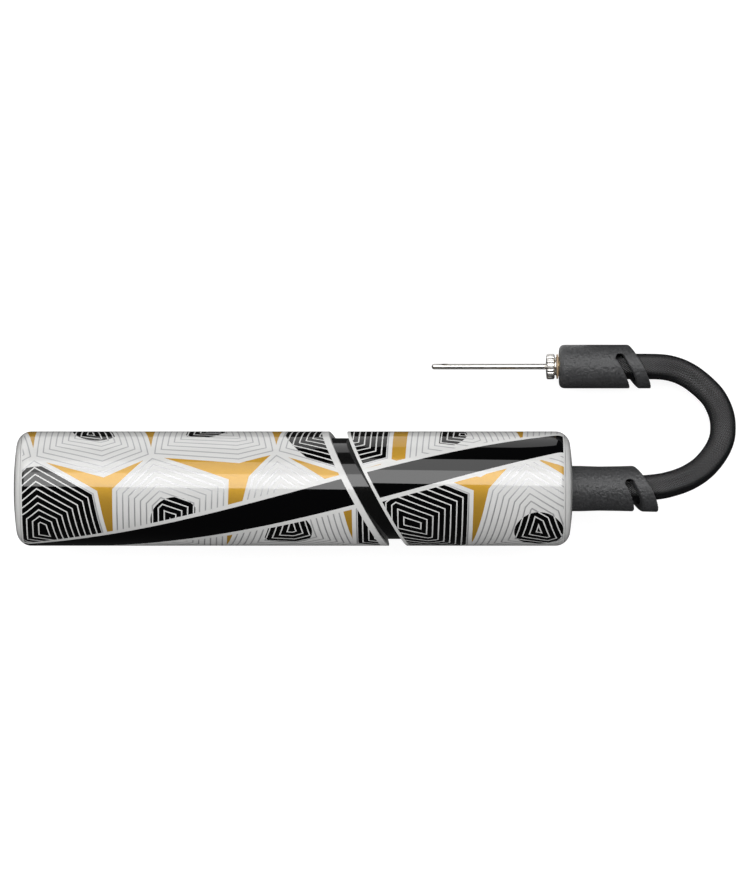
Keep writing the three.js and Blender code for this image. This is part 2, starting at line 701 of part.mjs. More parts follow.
// What lies on the pump's own axis.
const onPumpAxis = new THREE.Group();
onPumpAxis.position.set(0, 0, CASE_R);
onPumpAxis.add(
  named("handle_shell", handleShell(), lacquer),
  named("handle_end_cap", handleEndCap(), lacquer),
  named("rod_pin", rodPin(), steel),
  named("stroke_bumper", strokeBumper(), sealRubber),
  named("piston_rod", pistonRod(), aluminium),
  named("piston", piston(), whiteAcetal),
  named("piston_seal", pistonSeal(), sealRubber),
  named("piston_screw", pistonScrew(), steel),
  named("barrel", barrel(), blackGloss),
  named("barrel_gland", barrelGland(), greyNylon),
  named("guide_ring", guideRing(), whiteAcetal),
  named("head_shell", headShell(), lacquer),
  named("head_end_cap", headEndCap(), lacquer),
  named("head_block", headBlock(), greyNylon),
  named("head_o_ring", headORing(), sealRubber),
  named("valve_seat", valveSeat(), sealRubber),
  named("valve_ball", valveBall(), steel),
  named("valve_spring", valveSpring(), steel),
  named("spring_retainer", springRetainer(), brass),
  named("swivel_nut", swivelNut(), brass),
  named("swivel_fitting", swivelFitting(), brass),
  named("swivel_o_ring", swivelORing(), sealRubber),
  named("lower_ferrule", ferrule(HOSE_START), aluminium),
  named("lower_cuff", lowerCuff(), cuffRubber),
);

// What lies on the needle's axis, beside the pump and parallel to it.
const onNeedleAxis = new THREE.Group();
onNeedleAxis.position.set(0, NEEDLE_Y, NEEDLE_Z);
onNeedleAxis.add(
  named("upper_ferrule", ferrule(HOSE_END), aluminium),
  named("upper_cuff", upperCuff(), cuffRubber),
  named("needle_socket", needleSocket(), brass),
  named("needle_washer", needleWasher(), amberFibre),
  named("needle_hub", needleHub(), nickel),
  named("needle_tube", needleTube(), nickel),
);

pump.add(onPumpAxis, onNeedleAxis, named("hose", hose(), braid));

export default pump;
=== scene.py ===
"""The looks of a slim hand pump for balls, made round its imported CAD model. Lengths are in metres."""

import math
import random

import bpy
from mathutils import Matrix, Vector


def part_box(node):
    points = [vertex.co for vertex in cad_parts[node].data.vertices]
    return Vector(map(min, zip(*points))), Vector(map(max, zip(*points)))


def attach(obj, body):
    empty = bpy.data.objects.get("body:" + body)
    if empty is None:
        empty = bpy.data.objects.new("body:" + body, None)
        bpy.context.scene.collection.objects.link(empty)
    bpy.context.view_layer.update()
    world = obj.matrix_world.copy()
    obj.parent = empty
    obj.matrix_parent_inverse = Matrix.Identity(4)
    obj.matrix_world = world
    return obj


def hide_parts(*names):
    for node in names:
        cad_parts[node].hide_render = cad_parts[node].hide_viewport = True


bl_info = {
    "name": "Ball Pump",
    "version": (1, 0, 0),
    "blender": (4, 5, 0),
    "location": "View3D > Sidebar > Ball Pump",
    "description": "Makes a printed hand pump with a braided hose, soft cuffs and an inflation needle",
    "category": "Add Mesh",
}

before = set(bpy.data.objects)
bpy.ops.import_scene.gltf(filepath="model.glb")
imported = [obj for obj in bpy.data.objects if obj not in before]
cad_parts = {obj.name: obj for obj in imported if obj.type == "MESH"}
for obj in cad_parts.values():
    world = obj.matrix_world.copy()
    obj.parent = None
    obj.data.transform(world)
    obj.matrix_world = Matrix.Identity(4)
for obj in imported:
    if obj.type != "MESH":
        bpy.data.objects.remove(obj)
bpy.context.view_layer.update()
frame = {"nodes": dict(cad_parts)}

MM = 0.001


def span(node):
    """Where a CAD node starts and ends along the case."""
    low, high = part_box(node)
    return low.x, high.x


def radius(node):
    """The outer radius of a round CAD node that lies along the case."""
    low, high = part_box(node)
    return (high.y - low.y) / 2


def axis_of(node):
    """A point on the long axis of a CAD node that lies along the case, at x = 0."""
    low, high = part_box(node)
    return Vector((0, (low.y + high.y) / 2, (low.z + high.z) / 2))


PUMP_AXIS = axis_of("barrel")
NEEDLE_AXIS = axis_of("needle_tube")
CASE_R = radius("handle_shell")
CASE_WALL = 2 * MM
BARREL_WALL = 1.7 * MM
CASE_LEFT = span("handle_end_cap")[0]
CASE_RIGHT = span("head_end_cap")[1]
END_ROUNDING = 5 * MM
DOME_R = 110 * MM  # the case's two ends are slightly domed
CUFF_HOLE_R = 8.2 * MM
CAP_RIM = 2.6 * MM
JOINT_GAP = 0.3 * MM
PRINT_MARGIN = 3.3 * MM  # the print stops this far from the case's ends

# The parting slants: its planes are x + LEAN.y * y + LEAN.z * z = a constant, from the pump's axis.
LEAN = Vector((1, 0.52, 0.1))
# The cuffs' slanting ends, in the same way.
LOWER_LEAN = Vector((1, 0.52, -0.27))
UPPER_LEAN = Vector((1, 0.52, -0.16))
HANDLE_PARTING = 22.35 * MM
HEAD_PARTING = 28.65 * MM

CASE_STEPS = 160
HUB_STEPS = 96  # four steps for each tooth of the needle's knurled ring
CLEARCOAT = {"coat_weight": 1, "coat_roughness": 0.03}

# The hose's centre line, as in the CAD model, in millimetres.
HOSE_ROUTE = [
    (78.3, 0, 19.5),
    (86, 0, 19.5),
    (95, 0, 19.5),
    (104, 0, 19.5),
    (112, 0, 19.5),
    (119, 0.15, 19.4),
    (125.3, 0.8, 18.9),
    (128.9, 1.6, 18.2),
    (132.4, 2.7, 17.2),
    (135.9, 4.3, 15.9),
    (139.4, 6.6, 14.2),
    (142.1, 9.2, 12.6),
    (144.3, 12, 11),
    (145.9, 14.8, 9.5),
    (146.9, 17.7, 8.2),
    (147.2, 20.6, 7),
    (147.1, 23.4, 6),
    (146.5, 26.1, 5.3),
    (145.4, 28.8, 4.8),
    (143.8, 31.5, 4.55),
    (141.5, 34, 4.45),
    (138.9, 36.3, 4.45),
    (136, 38.4, 4.6),
    (132.7, 40.1, 5),
    (129.2, 41.2, 5.7),
    (125.6, 41.7, 6.6),
    (121, 41.8, 7.3),
    (115, 41.8, 7.5),
    (109, 41.8, 7.5),
    (102.3, 41.8, 7.5),
]


# ---- What a user would change ------------------------------------------------------------


def length(name, description, default):
    return bpy.props.FloatProperty(
        name=name, description=description, default=default, unit="LENGTH", precision=5
    )


def colour(name, description, default):
    return bpy.props.FloatVectorProperty(
        name=name, description=description, default=default, subtype="COLOR", min=0, max=1
    )


class PumpStageSettings(bpy.types.PropertyGroup):
    camera_height: length("Camera height", "How far the camera is above the pump's axis", 2.2)
    view_middle: bpy.props.FloatVectorProperty(
        name="View middle",
        description="The point on the pump's axis plane that the camera looks straight down at",
        default=(0.0278, 0.0147),
        size=2,
        subtype="XYZ",
        unit="LENGTH",
    )
    view_width: length("View width", "The width of what the camera sees at the pump's axis", 0.2559)
    floor: colour("Floor", "The colour of the plain floor", (0.9, 0.9, 0.9))
    key_power: bpy.props.FloatProperty(
        name="Key power", description="Strength of the long soft light", default=5.8, unit="POWER"
    )
    fill_power: bpy.props.FloatProperty(
        name="Fill power",
        description="Strength of each light that fills the shade",
        default=4.5,
        unit="POWER",
    )


class PumpPrintSettings(bpy.types.PropertyGroup):
    white: colour("White", "The case's ground colour", (0.68, 0.68, 0.67))
    black: colour("Black", "The ink of the dark cells and the band", (0.0008, 0.0008, 0.001))
    gold: colour("Gold", "The metallic ink between the cells", (0.46, 0.26, 0.033))
    silver: colour("Silver", "The ink of the contour lines", (0.4, 0.4, 0.41))
    line_pitch: length("Line pitch", "From one contour line to the next", 2 * MM)
    line_width: length("Line width", "Width of a contour line", 0.42 * MM)
    cell_size: length("Cell size", "From the middle of one cell to the next along the case", 42 * MM)
    star_depth: length("Star depth", "How far cells draw back from the gold stars", 4.4 * MM)
    band_width: length("Band width", "Width of the plain black band across the case", 10 * MM)
    band_border: length("Band border", "Width of the white edge on each side of the band", 1.5 * MM)


class PumpHoseSettings(bpy.types.PropertyGroup):
    diameter: length("Diameter", "Diameter over the braid", 8.8 * MM)
    strands: bpy.props.IntProperty(
        name="Strands", description="Strands that wind each way round the hose", default=36, min=8
    )
    stitch: length("Stitch", "Length along the hose of one crossing of the strands", 0.5 * MM)
    yarn: colour("Yarn", "The colour of the braid", (0.004, 0.004, 0.0045))


class PumpCuffSettings(bpy.types.PropertyGroup):
    rubber: colour("Rubber", "The colour of the soft cuffs", (0.034, 0.0345, 0.036))
    slot_width: length("Slot width", "Width of the slot in each cuff", 3.2 * MM)
    grain: length("Grain", "Size of the moulded grain", 0.9 * MM)


# ---- Modelling by hand -------------------------------------------------------------------


def only(obj):
    """Makes obj the one selected and active object."""
    bpy.ops.object.select_all(action="DESELECT")
    obj.select_set(True)
    bpy.context.view_layer.objects.active = obj
    return obj


class editing:
    """Edit mode on an object, with the vertices whose place passes a test selected, or all of it."""

    def __init__(self, obj, chosen=lambda place: True):
        self.obj = only(obj)
        for part in (*obj.data.polygons, *obj.data.edges):
            part.select = False
        for vertex in obj.data.vertices:
            vertex.select = chosen(vertex.co)

    def __enter__(self):
        bpy.ops.object.mode_set(mode="EDIT")
        bpy.ops.mesh.select_mode(type="VERT")

    def __exit__(self, *problem):
        bpy.ops.object.mode_set(mode="OBJECT")


def started(name, primitive, **size):
    """A new primitive, named, with nothing else selected."""
    bpy.ops.object.select_all(action="DESELECT")
    primitive(**size)
    obj = bpy.context.object
    obj.name = obj.data.name = name
    return obj


def settled(obj):
    """Puts an object's place into its mesh."""
    only(obj)
    bpy.ops.object.transform_apply(location=True, rotation=True, scale=True)
    return obj


def modified(obj, kind, **settings):
    """Adds a modifier with its settings and applies it."""
    modifier = obj.modifiers.new(kind.title(), kind)
    for name, value in settings.items():
        setattr(modifier, name, value)
    only(obj)
    bpy.ops.object.modifier_apply(modifier=modifier.name)
    return obj


def rounded(obj, width, segments, angle=50):
    """Rounds the edges that are sharper than the angle."""
    limit = math.radians(angle)
    return modified(obj, "BEVEL", width=width, segments=segments, limit_method="ANGLE", angle_limit=limit)


def smoothed(obj, angle=30):
    """Smooth shading, with edges sharper than the angle kept crisp."""
    only(obj)
    bpy.ops.object.shade_smooth_by_angle(angle=math.radians(angle))
    return obj


def carved(obj, *cutters):
    """Takes each cutter away from obj."""
    for cutter in cutters:
        modified(obj, "BOOLEAN", operation="DIFFERENCE", solver="EXACT", object=cutter)
        bpy.data.objects.remove(cutter)
    return obj


def arc(x, r, size, start, end, steps=8):
    """Points of (x, radius) on an arc. Its angles are in degrees, from +X at 0 to outwards at 90."""
    turns = [math.radians(start + (end - start) * i / steps) for i in range(steps + 1)]
    return [(x + size * math.cos(turn), r + size * math.sin(turn)) for turn in turns]


def spun(name, outline, axis, steps=128):
    """An outline of (x, radius) points spun round a line along X. It ends on the line or closes on itself."""
    (x, r), *rest = outline
    start = (x, axis.y, axis.z + r)
    obj = started(name, bpy.ops.mesh.primitive_plane_add, size=MM, location=start)
    with editing(obj):
        bpy.ops.mesh.merge(type="CENTER")
        for next_x, next_r in rest:
            step = {"value": (next_x - x, 0, next_r - r)}
            bpy.ops.mesh.extrude_vertices_move(TRANSFORM_OT_translate=step)
            x, r = next_x, next_r
        bpy.ops.mesh.select_all(action="SELECT")
        bpy.ops.mesh.spin(steps=steps, angle=math.tau, center=axis, axis=(1, 0, 0))
        bpy.ops.mesh.select_all(action="SELECT")
        bpy.ops.mesh.remove_doubles(threshold=1e-6)
        bpy.ops.mesh.normals_make_consistent(inside=False)
    return settled(obj)


def closed(outline):
    """An outline that ends where it starts."""
    return [*outline, outline[0]]


def piece(obj, body, slot, material, *nodes):
    """Gives a made piece its material, puts it under its body's empty and hides the CAD nodes that it
    replaces.
    """
    obj.data.materials.clear()
    obj.data.materials.append(material)
    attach(obj, body)
    if nodes:
        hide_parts(*nodes)
    return obj


# ---- Materials ---------------------------------------------------------------------------


class Term:
    """A number that a node gives. Python's signs on it add Math nodes."""

    def __init__(self, recipe, socket):
        self.recipe = recipe
        self.socket = socket

    def __add__(self, other):
        return self.recipe.math("ADD", self, other)

    def __radd__(self, other):
        return self.recipe.math("ADD", other, self)

    def __sub__(self, other):
        return self.recipe.math("SUBTRACT", self, other)

    def __rsub__(self, other):
        return self.recipe.math("SUBTRACT", other, self)

    def __mul__(self, other):
        return self.recipe.math("MULTIPLY", self, other)

    def __rmul__(self, other):
        return self.recipe.math("MULTIPLY", other, self)

    def __truediv__(self, other):
        return self.recipe.math("DIVIDE", self, other)

    def __rtruediv__(self, other):
        return self.recipe.math("DIVIDE", other, self)

    def __lt__(self, other):
        return self.recipe.math("LESS_THAN", self, other)

    def __gt__(self, other):
        return self.recipe.math("GREATER_THAN", self, other)

    def __abs__(self):
        return self.recipe.math("ABSOLUTE", self)


class Recipe:
    """A material while its nodes are being added."""

    def __init__(self, name, **constants):
        self.material = bpy.data.materials.new(name)
        self.material.use_nodes = True
        self.tree = self.material.node_tree
        self.tree.nodes.clear()
        self.shader = self.add("ShaderNodeBsdfPrincipled")
        output = self.add("ShaderNodeOutputMaterial")
        self.tree.links.new(self.shader.outputs["BSDF"], output.inputs["Surface"])
        self.feed(**constants)

    def add(self, kind, settings=None, inputs=None):
        """A node of a kind, with its settings made first and then its sockets filled."""
        node = self.tree.nodes.new(kind)
        for name, value in (settings or {}).items():
            setattr(node, name, value)
        for key, value in (inputs or {}).items():
            self.fill(node.inputs[key], value)
        return node

    def fill(self, socket, value):
        """Links a socket to a term or another socket, or sets it to a constant."""
        source = value.socket if isinstance(value, Term) else value
        if isinstance(source, bpy.types.NodeSocket):
            self.tree.links.new(source, socket)
        elif isinstance(source, (tuple, list, Vector)) and socket.type == "RGBA":
            socket.default_value = (*source[:3], 1)
        else:
            socket.default_value = source

    def feed(self, **sockets):
        """Fills the shader's own sockets, with each one's name in lower case and joined by underscores."""
        for key, value in sockets.items():
            name = key.replace("_", " ").title().replace("Ior", "IOR")
            self.fill(self.shader.inputs[name], value)

    def math(self, operation, *terms):
        node = self.add("ShaderNodeMath", {"operation": operation}, dict(enumerate(terms)))
        return Term(self, node.outputs[0])

    def vector(self, operation, *sources):
        """A Vector Math node."""
        return self.add("ShaderNodeVectorMath", {"operation": operation}, dict(enumerate(sources)))

    def mixed(self, factor, first, second):
        """A colour between two colours."""
        inputs = {0: factor, 6: first, 7: second}
        return self.add("ShaderNodeMix", {"data_type": "RGBA"}, inputs).outputs[2]

    def place(self):
        """The point on the piece, in metres."""
        return self.add("ShaderNodeTexCoord").outputs["Object"]

    def parts(self, vector):
        """A vector's three numbers."""
        split = self.add("ShaderNodeSeparateXYZ", inputs={0: vector})
        return [Term(self, socket) for socket in split.outputs]

    def joined(self, x, y, z):
        return self.add("ShaderNodeCombineXYZ", inputs={0: x, 1: y, 2: z}).outputs[0]

    def noise(self, size, detail=2, where=None, stretch=(1, 1, 1)):
        """Noise from 0 to 1 with features of a size in metres, drawn out along an axis by stretch."""
        scale = [1 / (size * s) for s in stretch]
        scaled = self.vector("MULTIPLY", where or self.place(), Vector(scale)).outputs[0]
        node = self.add("ShaderNodeTexNoise", inputs={"Vector": scaled, "Scale": 1, "Detail": detail})
        return Term(self, node.outputs[0])

    def bump(self, height, depth, strength=1):
        """Raises the surface by height times depth, in metres."""
        inputs = {"Height": height, "Distance": depth, "Strength": strength}
        self.fill(self.shader.inputs["Normal"], self.add("ShaderNodeBump", inputs=inputs).outputs[0])


def blended(first, second, factor):
    """A number between two numbers."""
    return first + (second - first) * factor


# ---- The printed pattern -----------------------------------------------------------------

# The case is unrolled: a point's place is its distance along the case and its distance round it from
# the top, both in millimetres. The pattern is a lattice of cells in three rows round the case. Cells
# have contour lines inside them, and draw back from every second junction, where a three-armed star of
# gold is left.

ROWS = 3
ROUND_MM = math.tau * CASE_R / MM
ROW_HEIGHT = ROUND_MM / ROWS
FIRST_ROW = -15  # the place round the case of one row
SHIFT = 0.15  # how far cells stray from the even lattice, as a share of their size
DARK_SHARE = 0.45  # the share of the cells that are dark
FAR = 99  # a distance past every edge
BAND_SLOPE = 0.27  # how far round the case the band goes for each length along it
BAND_START = -6  # where round the case it passes the case's middle


def chance_of(*numbers):
    """A repeatable source of chance for some whole numbers."""
    seed = 5
    for number in numbers:
        seed = seed * 101 + number
    return random.Random(seed)


def cell_middles(size, left, right):
    """The middles of the cells between two places along the case, with each one's row and column. Rows
    past the underside are there again, so that the pattern closes."""
    middles = []
    for row in range(-3, 5):
        for column in range(math.floor(left / size) - 2, math.ceil(right / size) + 3):
            chance = chance_of(row % ROWS, column)
            along = (column + row % ROWS / ROWS + chance.uniform(-SHIFT, SHIFT)) * size
            around = FIRST_ROW + (row + chance.uniform(-SHIFT, SHIFT)) * ROW_HEIGHT
            middles.append((Vector((along, around)), row, column))
    return middles


def clipped(outline, normal, reach):
    """The part of an outline where a point's length along normal is at most reach."""
    kept = []
    for first, second in zip(outline, outline[1:] + outline[:1]):
        past_first = normal.dot(first) - reach
        past_second = normal.dot(second) - reach
        if past_first <= 0:
            kept.append(first)
        if past_first * past_second < 0:
            kept.append(first.lerp(second, past_first / (past_first - past_second)))
    return kept


def cell_outline(middle, others, size):
    """The corners of the region that is nearer to a cell's middle than to any other."""
    corners = [middle + Vector(corner) * size for corner in ((-2, -2), (2, -2), (2, 2), (-2, 2))]
    for other in others:
        towards = other - middle
        if 0 < towards.length < 2 * size:
            normal = towards.normalized()
            corners = clipped(corners, normal, normal.dot((middle + other) / 2))
    return corners


def star_size(corner, middles):
    """How big a star a junction holds, from 0 to 1. Those with two cells of their lowest row hold one."""
    nearest = sorted(middles, key=lambda cell: (cell[0] - corner).length)[:3]
    rows = sorted(row for _, row, _ in nearest)
    if rows[0] != rows[1]:
        return 0
    return chance_of(sum(row % ROWS * 7 + column * 3 for _, row, column in nearest)).uniform(0.65, 1)


def cell_sides(middle, middles, size, draw_back):
    """Each side of a cell as (along, round, offset): a point is inside where along * its place along the
    case + round * its place round it + offset is negative. A side leans in towards its star."""
    corners = cell_outline(middle, [other for other, _, _ in middles], size)
    sides = []
    for first, second in zip(corners, corners[1:] + corners[:1]):
        if (second - first).length < 0.5:
            continue
        stars = [star_size(corner, middles) for corner in (first, second)]
        inwards = (middle - first).project((second - first).orthogonal()).normalized()
        first = first + inwards * draw_back * stars[0]
        second = second + inwards * draw_back * stars[1]
        normal = (second - first).orthogonal().normalized()
        if normal.dot(middle - first) > 0:
            normal = -normal
        sides.append((normal.x, normal.y, -normal.dot(first)))
    return sides


def printed(name, left, right, border):
    """The case's printed lacquer between two places along it, in millimetres. border(recipe, x, y, z) gives
    a 0 to 1 mask of the white edge along the parting, from a point's place from the pump's axis."""
    ink = bpy.context.scene.pump_print
    recipe = Recipe(name, **CLEARCOAT, specular_ior_level=0)
    x, y, z = recipe.parts(recipe.vector("SUBTRACT", recipe.place(), PUMP_AXIS).outputs[0])
    along = x / MM
    around = recipe.math("ARCTAN2", y, z) * (CASE_R / MM)
    flat = recipe.joined(along, around, 1)

    size = ink.cell_size / MM
    middles = cell_middles(size, left, right)
    outside = {"dark": FAR, "light": FAR}
    off_middle = FAR
    for middle, row, column in middles:
        reach = size * 0.75
        seen = left - reach < middle.x < right + reach and abs(middle.y) < ROUND_MM / 2 + reach * 0.75
        if not seen:
            continue
        sides = cell_sides(middle, middles, size, ink.star_depth / MM)
        past = None
        for side in sides:
            term = Term(recipe, recipe.vector("DOT_PRODUCT", flat, Vector(side)).outputs["Value"])
            past = term if past is None else recipe.math("MAXIMUM", past, term)
        kind = "dark" if chance_of(row % ROWS, column, 9).random() < DARK_SHARE else "light"
        outside[kind] = recipe.math("MINIMUM", past, outside[kind])
        away = recipe.vector("DISTANCE", flat, Vector((middle.x, middle.y, 1))).outputs["Value"]
        off_middle = recipe.math("MINIMUM", Term(recipe, away), off_middle)

    past_edge = recipe.math("MINIMUM", outside["dark"], outside["light"])
    in_dark = outside["dark"] < outside["light"]
    pitch = ink.line_pitch / MM
    from_line = abs(recipe.math("WRAP", past_edge + 0.5 * pitch, pitch / 2, -pitch / 2))
    line = (from_line < ink.line_width / MM / 2) * (past_edge < -0.3)
    dark_cell = in_dark * (past_edge < -0.7 * pitch) * (off_middle < 0.56 * size)
    dark_middle = (1 - in_dark) * (past_edge < -5.2 * pitch) * (off_middle < 0.2 * size)
    dark = recipe.math("MAXIMUM", dark_cell, dark_middle)
    gold = past_edge > 0.55

    # The plain band winds gently round the case and crosses the parting.
    off_band = abs(around - BAND_SLOPE * along - BAND_START)
    band = off_band < ink.band_width / MM / 2
    band_edge = off_band < (ink.band_width / 2 + ink.band_border) / MM
    margin = abs(x) > CASE_RIGHT - PRINT_MARGIN
    edge = recipe.math("MAXIMUM", border(x, y, z), margin)
    plain = recipe.math("MAXIMUM", band_edge, edge)
    band = band * (1 - edge)

    grain = recipe.noise(0.12 * MM, detail=1)
    gold_ink = recipe.mixed(grain, [c * 0.82 for c in ink.gold], [min(1, c * 1.15) for c in ink.gold])
    tone = recipe.mixed(dark, list(ink.white), list(ink.black))
    line_ink = recipe.mixed(dark, list(ink.silver), list(ink.white))
    tone = recipe.mixed(line, tone, line_ink)
    tone = recipe.mixed(gold, tone, gold_ink)
    tone = recipe.mixed(plain, tone, list(ink.white))
    tone = recipe.mixed(band, tone, list(ink.black))
    shown = 1 - plain
    foil = (gold * 0.32 + line * (1 - dark) * 0.55) * shown
    recipe.feed(base_color=tone)
    recipe.feed(metallic=foil)
    recipe.feed(roughness=0.4 + grain * 0.12)
    ripple = recipe.noise(6 * MM, detail=0)
    recipe.bump(ripple + (gold + line) * shown * 0.1, 0.012 * MM)
    return recipe.material


def plain_white():
    """The unprinted lacquer of the end caps."""
    recipe = Recipe("white_lacquer", **CLEARCOAT, specular_ior_level=0.1)
    white = list(bpy.context.scene.pump_print.white)
    shade = recipe.noise(9 * MM)
    recipe.feed(base_color=recipe.mixed(shade, [0.97 * c for c in white], white))
    recipe.feed(roughness=0.28 + shade * 0.06)
    recipe.bump(recipe.noise(6 * MM, detail=0), 0.012 * MM)
    return recipe.material


# ---- Plain finishes ----------------------------------------------------------------------


def moulded(name, tint, roughness, mottle=0.1, grain=0.4 * MM, depth=0.01 * MM, **constants):
    """Plastic or rubber with a slight unevenness in its colour and a fine grain."""
    recipe = Recipe(name, **constants)
    cloud = recipe.noise(5 * MM)
    dark = [c * (1 - mottle) for c in tint]
    light = [min(1, c * (1 + mottle)) for c in tint]
    recipe.feed(base_color=recipe.mixed(cloud, dark, light))
    fine = recipe.noise(grain, detail=3)
    recipe.feed(roughness=roughness - 0.06 + fine * 0.12)
    recipe.bump(fine, depth)
    return recipe.material


def turned(name, tint, roughness, ring=0.12 * MM, depth=0.002 * MM):
    """Metal with fine rings round it from the lathe."""
    recipe = Recipe(name, metallic=1)
    rings = recipe.noise(ring, detail=2, stretch=(1, 60, 60))
    cloud = recipe.noise(3 * MM)
    dark = [0.86 * c for c in tint]
    recipe.feed(base_color=recipe.mixed(cloud * 0.6 + rings * 0.4, dark, tint))
    recipe.feed(roughness=roughness + rings * 0.14 - 0.05)
    recipe.bump(rings, depth)
    return recipe.material


def drawn(name, tint, roughness):
    """Metal with fine lines along it, as drawn wire and rod have."""
    recipe = Recipe(name, metallic=1)
    lines = recipe.noise(0.1 * MM, detail=2, stretch=(90, 1, 1))
    dark = [0.8 * c for c in tint]
    recipe.feed(base_color=recipe.mixed(lines, dark, tint))
    recipe.feed(roughness=roughness + lines * 0.12 - 0.04)
    recipe.bump(lines, 0.003 * MM)
    return recipe.material


def gloss_black():
    """The barrel's polished black, with faint draw lines along it."""
    recipe = Recipe("gloss_black", **CLEARCOAT, specular_ior_level=0.1)
    lines = recipe.noise(0.5 * MM, detail=2, stretch=(60, 1, 1))
    recipe.feed(base_color=recipe.mixed(lines, (0.003,) * 3, (0.006,) * 3))
    recipe.feed(roughness=0.16 + lines * 0.06)
    recipe.bump(lines, 0.001 * MM)
    return recipe.material


def braided():
    """The hose's cover: strands that wind both ways and pass over and under each other."""
    hose = bpy.context.scene.pump_hose
    recipe = Recipe("braid", ior=1.7)
    lay = recipe.add("ShaderNodeUVMap", {"uv_map": "lay"}).outputs[0]
    turn, run, _ = recipe.parts(lay)
    across = turn * hose.strands
    ahead = run / (2 * hose.stitch)
    rising, falling = across + ahead, across - ahead
    rising_part = recipe.math("FRACT", rising)
    falling_part = recipe.math("FRACT", falling)
    crossing = recipe.math("FLOOR", rising) + recipe.math("FLOOR", falling)
    rising_over = recipe.math("PINGPONG", crossing, 1)

    def strand(sideways, lengthways):
        """A strand's height: round across it, and dipping at both ends of the crossing."""
        side = abs(sideways * 2 - 1)
        end = abs(lengthways * 2 - 1)
        return (1 - side * side) * (1 - end * end * 0.55)

    height = blended(strand(rising_part, falling_part), strand(falling_part, rising_part), rising_over)
    threads = recipe.math("SINE", blended(rising_part, falling_part, rising_over) * (math.tau * 4))
    fuzz = recipe.noise(0.5 * MM)
    yarn = list(hose.yarn)
    # Painted shade and painted highlight: the yarn's colour follows the strands' height, darker in the dips
    # between them and lighter on their tops, with some random fuzz.
    painted_strand_shade = recipe.mixed(height * 0.7 + fuzz * 0.3, [0.25 * c for c in yarn], [min(1, 2.2 * c) for c in yarn])
    recipe.feed(base_color=painted_strand_shade)
    recipe.feed(roughness=0.2 - height * 0.08 + fuzz * 0.04)
    recipe.bump(height + threads * 0.03, 0.16 * MM)
    return recipe.material


def cuff_rubber():
    """Matte moulded rubber with a fine leathery grain, its colour darker in the grain's pits as painted shade
    and lighter on its tops as painted highlight.
    """
    cuff = bpy.context.scene.pump_cuff
    recipe = Recipe("cuff_rubber", ior=1.5)
    cells = recipe.add("ShaderNodeTexVoronoi", {"feature": "SMOOTH_F1"}, {"Scale": 1 / cuff.grain})
    recipe.fill(cells.inputs["Vector"], recipe.place())
    pebble = Term(recipe, cells.outputs["Distance"])
    fine = recipe.noise(cuff.grain, detail=4)
    cloud = recipe.noise(7 * MM)
    rubber = list(cuff.rubber)
    # Painted shade and painted highlight: the rubber's colour follows the grain's height, darker in its pits
    # and lighter on its tops, with a faint random cloud.
    shade = recipe.mixed(cloud * 0.2 + fine * 0.8, [0.2 * c for c in rubber], [1.9 * c for c in rubber])
    recipe.feed(base_color=shade)
    recipe.feed(roughness=0.38 + fine * 0.16)
    recipe.bump(pebble * 0.3 + fine, 0.45 * MM)
    return recipe.material


# ---- Stage -------------------------------------------------------------------------------


